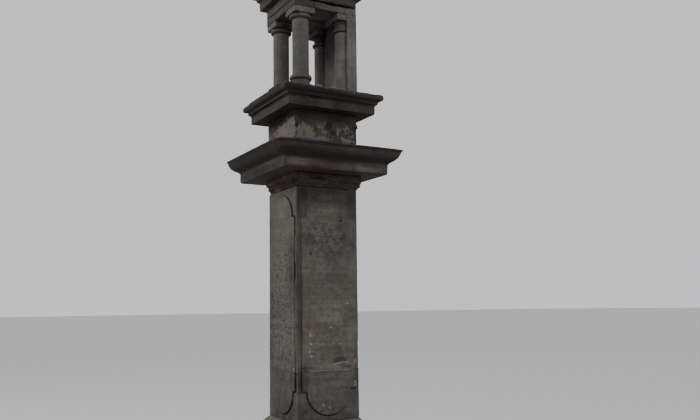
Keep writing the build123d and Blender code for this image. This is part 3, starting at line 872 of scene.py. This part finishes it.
def turnProfile(profile, x, y):
    mesh = bmesh.new()
    chain = [(0.0, profile[0][1])] + profile + [(0.0, profile[-1][1])]
    verts = [mesh.verts.new((radius, 0.0, z)) for radius, z in chain]
    edges = [mesh.edges.new(pair) for pair in zip(verts, verts[1:])]
    bmesh.ops.spin(
        mesh, geom=verts + edges, cent=(0, 0, 0), axis=(0, 0, 1), angle=math.tau,
        steps=columns["steps"], use_merge=True,
    )
    bmesh.ops.remove_doubles(mesh, verts=mesh.verts, dist=weld)
    bmesh.ops.recalc_face_normals(mesh, faces=mesh.faces)
    bmesh.ops.translate(mesh, verts=mesh.verts, vec=(x, y, 0))
    return mesh


def cutAtWall(mesh):
    # keep what stands in front of the wall's face and close the cut
    whole = mesh.verts[:] + mesh.edges[:] + mesh.faces[:]
    bmesh.ops.bisect_plane(
        mesh, geom=whole, dist=weld, plane_co=(0, columns["wall"], 0), plane_no=(0, 1, 0), clear_outer=True,
    )
    rim = [edge for edge in mesh.edges if edge.is_boundary]
    bmesh.ops.holes_fill(mesh, edges=rim, sides=0)
    bmesh.ops.recalc_face_normals(mesh, faces=mesh.faces)
    return mesh


c = columns
baseProfile = [(c["drum"] + c["flare"], c["floor"]), (c["drum"], c["floor"] + 0.022)]
baseProfile += roundMoulding(c["drum"], c["ring"], c["drumTop"], c["shaftFoot"])
cushionProfile = roundMoulding(c["cushionNeck"], c["cushion"], c["cushionFoot"], c["abacus"] + 0.004)
halfProfile = roundMoulding(c["half"], c["lowRoll"], c["lowRollFoot"], c["lowRollTop"])
halfProfile += [(c["half"], c["bandFoot"])]
halfProfile += roundMoulding(c["half"], c["band"], c["bandFoot"], c["abacus"] + 0.001, 5)

columnLook = {
    "cell": 0.007, "arris": 0.002, "wear": 0.0, "uneven": 0.4, "swell": 0.0012, "rough": 0.0005, "rounds": 3,
    "chip": 0.004, "chipRarity": 0.3,
}
abacusLook = {"arris": 0.004, "chip": 0.012, "chipRarity": 0.1, "uneven": 0.7}
# the lantern's inside: the painted underside shade left off, painted shade up under the ceiling and on the
# left column's inner side, and painted light making the wall paler towards its foot
innerSpots = [
    mark((0.0, 0.0, 4.31), (0.36, 0.36, 0.12), sheltered=1.0, tone=-0.1),
    mark((0.0, 0.04, 4.33), (0.24, 0.3, 0.09), tone=1.1),
    mark((0.0, 0.216, 4.13), (0.26, 0.05, 0.32), tone=-0.55),
    mark((-0.2, 0.2, 4.22), (0.14, 0.14, 0.1), tone=-0.35),
    mark((-0.2, 0.2, 3.7), (0.12, 0.12, 0.32), tone=0.45),
    mark((-0.15, -0.211, 4.24), (0.06, 0.13, 0.05), soot=0.8, tone=-0.5),
    mark((-0.05, 0.216, 3.66), (0.26, 0.06, 0.36), tone=0.35),
    mark((0.29, 0.24, 3.74), (0.14, 0.16, 0.44), tone=0.42),
    mark((0.31, 0.27, 4.2), (0.06, 0.12, 0.17), tone=-0.24),
]


def lanternStone(name, seed, look=None, mesh=None):
    look = {**columnLook, "seed": seed, **(look or {})}
    look["spots"] = innerSpots + look.get("spots", [])
    wornStone(name, "lantern", "lantern_sandstone", look, mesh)


for count, side in enumerate(("left", "right")):
    x = c["offset"] * (-1 if side == "left" else 1)
    made = {
        f"front_{side}_column_base": turnProfile(baseProfile, x, -c["offset"]),
        f"front_{side}_column_capital": turnProfile(cushionProfile, x, -c["offset"]),
        f"back_{side}_half_column_capital": cutAtWall(turnProfile(halfProfile, x, c["wall"])),
    }
    for order, (name, mesh) in enumerate(made.items()):
        tone = 0.7 if order == 2 or side == "left" else 0.92
        lanternStone(name, 41 + 5 * count + order, {"tone": tone}, mesh)
    plain = [f"front_{side}_column_shaft", f"back_{side}_half_column_base", f"back_{side}_half_column_shaft"]
    for order, name in enumerate(plain):
        lanternStone(name, 51 + 5 * count + order)
    for order, name in enumerate((f"front_{side}_abacus", f"back_{side}_half_abacus")):
        tone = 1.0 if order == 0 and side == "right" else 0.84
        lanternStone(name, 61 + 3 * count + order, {**abacusLook, "tone": tone})

# the crack under the frieze: dented, with painted shade in it
crackSpots = [
    mark((0.31, -0.16, 4.352), (0.06, 0.2, 0.017), dent=0.012, soot=1.4, tone=-0.3),
    mark((0.31, 0.06, 4.349), (0.06, 0.16, 0.018), dent=0.016, soot=1.6, tone=-0.4),
    mark((0.31, 0.2, 4.355), (0.06, 0.14, 0.016), dent=0.012, soot=1.4, tone=-0.3),
    mark((0.0, -0.31, 4.348), (0.35, 0.05, 0.008), dent=0.003, soot=0.8),
]
lintelLook = {
    "arris": 0.004, "swell": 0.0025, "rough": 0.0012, "chip": 0.01, "chipRarity": 0.1, "uneven": 0.7,
    "spots": crackSpots,
}
lintelTones = {"front_lintel": 0.45, "left_lintel": 0.6, "right_lintel": 0.7, "back_lintel": 0.9}
for count, (name, tone) in enumerate(lintelTones.items()):
    lanternStone(name, 71 + count, {**lintelLook, "tone": tone})
wallLook = {"cell": 0.0095, "swell": 0.0018, "rough": 0.0007, "chip": 0.008}
lanternStone("lantern_back_wall", 81, wallLook)
friezeLook = {**lintelLook, "cell": 0.0085, "tone": 0.56}
lanternStone("frieze_block", 82, friezeLook)
print("lantern built")


# Top cornice, roof and finial

topLook = {
    "cell": 0.0125, "arris": 0.004, "wear": 0.05, "uneven": 0.8, "swell": 0.003, "rough": 0.0012,
    "chip": 0.008,
}
for count, name in enumerate(("top_cornice", "roof_cap", "ball_finial")):
    wornStone(name, "cornice", "cornice_sandstone", {**topLook, "seed": 91 + count})
crossLook = {"cell": 0.006, "arris": 0.002, "swell": 0.0003, "rough": 0.0003, "chip": 0.0, "seed": 95}
wornStone("cross", "iron", "wrought_iron", crossLook)
print("top set")


# Mortar: the bed between the shaft's two blocks, the smear above it and lumps at the lantern's foot

mortarLook = {
    "cell": 0.006, "arris": 0.0015, "wear": 0.2, "uneven": 0.6, "swell": 0.004, "rough": 0.003,
    "chip": 0.002, "rounds": 2,
}


def mortarSlab(name, slot, outline, z, thickness, look):
    # a flat bed with a ragged edge, from its outline in plan
    mesh = bmesh.new()
    face = mesh.faces.new([mesh.verts.new((x, y, z)) for x, y in outline])
    grown = bmesh.ops.extrude_face_region(mesh, geom=[face])
    top = [item for item in grown["geom"] if isinstance(item, bmesh.types.BMVert)]
    bmesh.ops.translate(mesh, verts=top, vec=(0, 0, thickness))
    bmesh.ops.recalc_face_normals(mesh, faces=mesh.faces)
    settings = {**plainWear, **mortarLook, **look}
    divideFaces(mesh, settings["cell"])
    asPiece(mesh, settings, name, materials["mortar"], slot)


# Metres: the bed follows the shaft and its raised panels
shaftBed = {"face": 0.3025, "panelHalf": 0.2615, "panelFace": 0.3145, "z": 1.0455, "thickness": 0.009}
face, half, proud = shaftBed["face"], shaftBed["panelHalf"], shaftBed["panelFace"]
quarter = [(-face, -face), (-half, -face), (-half, -proud), (half, -proud), (half, -face)]
bedOutline = []
for turn in range(4):
    swing = Matrix.Rotation(math.radians(90 * turn), 2)
    bedOutline += [tuple(swing @ Vector(point)) for point in quarter]
bedSpots = [
    mark((0.0, -0.31, 1.05), (0.4, 0.05, 0.05), tone=-0.45, soot=0.2),
    mark((0.31, -0.245, 1.05), (0.05, 0.07, 0.05), tone=-0.6, soot=1.0),
    mark((0.31, 0.26, 1.05), (0.05, 0.06, 0.05), tone=-0.4, soot=0.4),
]
bedLook = {"spots": bedSpots, "swell": 0.003, "rough": 0.006, "cell": 0.0095, "seed": 101}
mortarSlab(
    "shaft_joint_mortar", "shaft_sandstone", bedOutline, shaftBed["z"], shaftBed["thickness"], bedLook,
)


def mortarSmear(name, seed, slot, centre, size, facing, look, rise=0.0):
    # mortar thrown against a face: a thin pad, ragged where it runs out under the stone's skin
    mesh = bmesh.new()
    bmesh.ops.create_cube(mesh, size=1.0)
    bmesh.ops.scale(mesh, verts=mesh.verts, vec=size)
    bmesh.ops.translate(mesh, verts=mesh.verts, vec=centre)
    settings = {**plainWear, **mortarLook, "seed": seed, **look}
    divideFaces(mesh, settings["cell"])
    drift = Vector((seed * 1.3, seed * 0.7, seed * 2.1))
    facing = Vector(facing)
    flat = [axis for axis in range(3) if not facing[axis]]
    for vert in mesh.verts:
        rim = max(abs(vert.co[axis] - centre[axis]) / (size[axis] / 2) for axis in flat)
        lump = noise.fractal(vert.co * settings["lumps"] + drift, 0.9, 2.0, 4)
        vert.co -= facing * max(0.0, (smoothStep(rim) * 1.1 - 0.35 * lump) * settings["depth"])
        vert.co.z += rise * (vert.co.y - centre[1])
    asPiece(mesh, settings, name, materials["mortar"], slot)


onShaft = {"slot": "shaft_sandstone", "facing": (1, 0, 0)}
atLantern = {"slot": "lantern_sandstone", "facing": (0, 0, 1)}
smears = {
    "joint_mortar_ridge": {
        **onShaft, "centre": (0.3125, 0.105, 1.103), "size": (0.014, 0.32, 0.034), "rise": 0.11,
        "look": {
            "swell": 0.001, "depth": 0.011, "lumps": 10.0, "cell": 0.0045, "rough": 0.0015, "tone": 0.86,
        },
    },
    "joint_mortar_smear": {
        **onShaft, "centre": (0.3085, 0.02, 1.08), "size": (0.011, 0.4, 0.046), "rise": 0.02,
        "look": {"swell": 0.001, "depth": 0.009, "lumps": 11.0, "cell": 0.005, "rough": 0.001, "tone": 0.66},
    },
    "lantern_foot_mortar": {
        **atLantern, "centre": (0.33, -0.085, 3.552), "size": (0.06, 0.15, 0.038),
        "look": {"depth": 0.026, "lumps": 24.0, "cell": 0.005, "tone": 1.2},
    },
    "lantern_foot_crumbs": {
        **atLantern, "centre": (0.35, 0.1, 3.55), "size": (0.06, 0.3, 0.03),
        "look": {"depth": 0.024, "lumps": 28.0, "cell": 0.005, "tone": 0.75},
    },
    "column_foot_mortar": {
        **atLantern, "centre": (0.3, -0.18, 3.557), "size": (0.08, 0.17, 0.04),
        "look": {"depth": 0.036, "lumps": 10.0, "cell": 0.006, "tone": 0.55},
    },
}
for count, (name, smear) in enumerate(smears.items()):
    mortarSmear(name, 111 + count, **smear)
print("mortar pointed")


# Studio: floor, light and camera

studio = {
    "floor": 400.0, "floorTone": (0.6, 0.6, 0.59), "skyTone": (0.97, 0.97, 0.98), "skyStrength": 0.85,
    "keyAt": (-3.0, -7.5, 8.0), "keySize": 5.0, "keyPower": 420.0,
    "fillAt": (8.0, 2.0, 6.0), "fillSize": 5.0, "fillPower": 130.0,
}


def layFloor():
    mesh = bmesh.new()
    bmesh.ops.create_grid(mesh, x_segments=2, y_segments=2, size=studio["floor"] / 2)
    data = bpy.data.meshes.new("floor")
    mesh.to_mesh(data)
    mesh.free()
    floor = bpy.data.objects.new("floor", data)
    bpy.context.scene.collection.objects.link(floor)
    material, tree, shader = newMaterial("paleFloor")
    plug(tree, shader, {"Base Color": studio["floorTone"], "Roughness": 0.9})
    data.materials.append(material)


def hangLight(name, place, size, power):
    lamp = bpy.data.lights.new(name, "AREA")
    lamp.shape = "DISK"
    lamp.size = size
    lamp.energy = power
    light = bpy.data.objects.new(name, lamp)
    bpy.context.scene.collection.objects.link(light)
    light.location = place
    light.rotation_euler = (Vector((0, 0, 2.6)) - Vector(place)).to_track_quat("-Z", "Y").to_euler()


def openSky():
    world = bpy.data.worlds.new("studioSky")
    world.use_nodes = True
    glow = world.node_tree.nodes["Background"]
    plug(world.node_tree, glow, {"Color": studio["skyTone"], "Strength": studio["skyStrength"]})
    bpy.context.scene.world = world


# where the photograph was taken from: metres, degrees, and pixels of a frame 700 wide
viewpoint = {
    "at": (6.01585, -3.01922, 1.5986), "yaw": 60.411, "pitch": 5.178, "roll": -0.702,
    "focal": 735.0, "frameWidth": 700.0, "rise": 30.0,
}


def standCamera():
    lens = bpy.data.cameras.new("camera")
    lens.sensor_width = 36.0
    lens.lens = viewpoint["focal"] / viewpoint["frameWidth"] * lens.sensor_width
    lens.shift_y = viewpoint["rise"] / viewpoint["frameWidth"]
    lens.clip_end = 500.0
    camera = bpy.data.objects.new("camera", lens)
    bpy.context.scene.collection.objects.link(camera)
    turn = Matrix.Rotation(math.radians(viewpoint["yaw"]), 4, "Z")
    tip = Matrix.Rotation(math.radians(90.0 + viewpoint["pitch"]), 4, "X")
    lean = Matrix.Rotation(math.radians(viewpoint["roll"]), 4, "Z")
    camera.matrix_world = Matrix.Translation(viewpoint["at"]) @ turn @ tip @ lean
    bpy.context.scene.camera = camera


layFloor()
hangLight("keyLight", studio["keyAt"], studio["keySize"], studio["keyPower"])
hangLight("fillLight", studio["fillAt"], studio["fillSize"], studio["fillPower"])
openSky()
standCamera()
print("studio ready")
